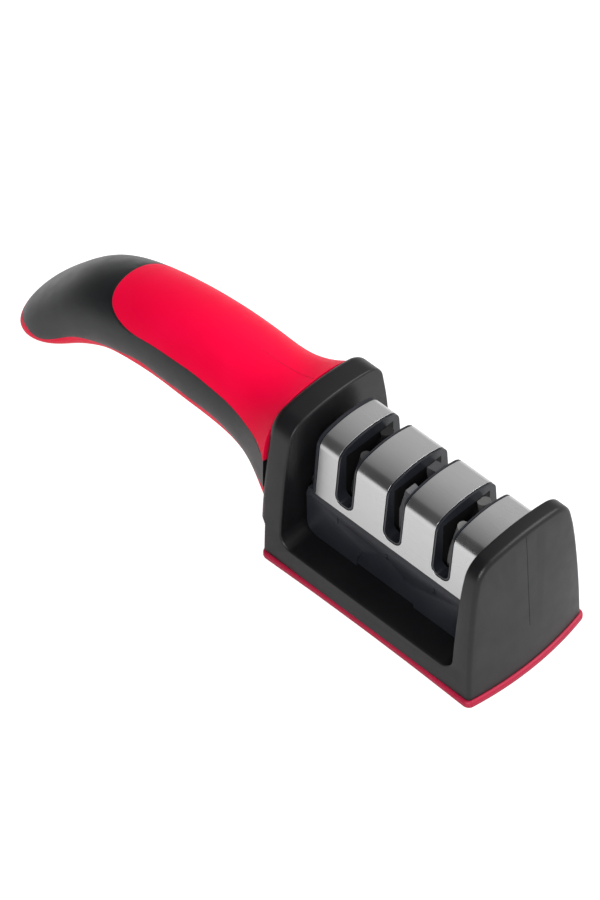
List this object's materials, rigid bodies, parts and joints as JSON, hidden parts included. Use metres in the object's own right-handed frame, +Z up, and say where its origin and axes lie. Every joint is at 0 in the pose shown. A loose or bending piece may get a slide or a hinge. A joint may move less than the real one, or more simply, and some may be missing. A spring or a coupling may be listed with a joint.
{
  "type": "pull through knife sharpener",
  "caption": "Hand-held kitchen knife sharpener with a curved soft-grip handle, a black base on a soft pad and a steel-covered, slotted cartridge that lifts out between the end walls.",
  "frame": {"origin": "centre of the resting face of the soft pad, midway between the sides of the base", "axes": "+X to the front end wall, so the handle runs to -X; +Z up; the knife is drawn along Y"},
  "size_m": [0.2053, 0.0498, 0.057],
  "materials": {
    "grip_red": "soft satin",
    "pad_red": "soft matt",
    "sleeve_black": "soft matt",
    "body_black": "fine satin",
    "cartridge_black": "satin",
    "inner_plastic": "matt",
    "cover_steel": "brushed",
    "screw_steel": "plain",
    "diamond_grey": "gritty matt",
    "carbide_grey": "ground",
    "ceramic_white": "fine matt"
  },
  "bodies": {
    "sharpener_body": {"base_pad": "pad_red", "base_plate": "inner_plastic", "base_screws": "screw_steel", "main_body": "body_black", "handle_core_left": "inner_plastic", "handle_core_right": "inner_plastic", "handle_screws": "screw_steel", "handle_sleeve": "sleeve_black", "grip_top": "grip_red", "grip_underside": "grip_red"},
    "cartridge": {"cartridge_housing": "cartridge_black", "cartridge_floor": "cartridge_black", "cartridge_screws": "screw_steel", "steel_cover": "cover_steel", "coarse_stage_holder": "inner_plastic", "medium_stage_holder": "inner_plastic", "fine_stage_holder": "inner_plastic", "diamond_rod_near": "diamond_grey", "diamond_rod_far": "diamond_grey", "carbide_blade_near": "carbide_grey", "carbide_blade_far": "carbide_grey", "ceramic_rod_near": "ceramic_white", "ceramic_rod_far": "ceramic_white"}
  },
  "joints": [
    {"name": "cartridge_lift", "type": "slide", "parent": "sharpener_body", "child": "cartridge", "axis": [0, 0, 1], "range_m": [0, 0.052]}
  ]
}
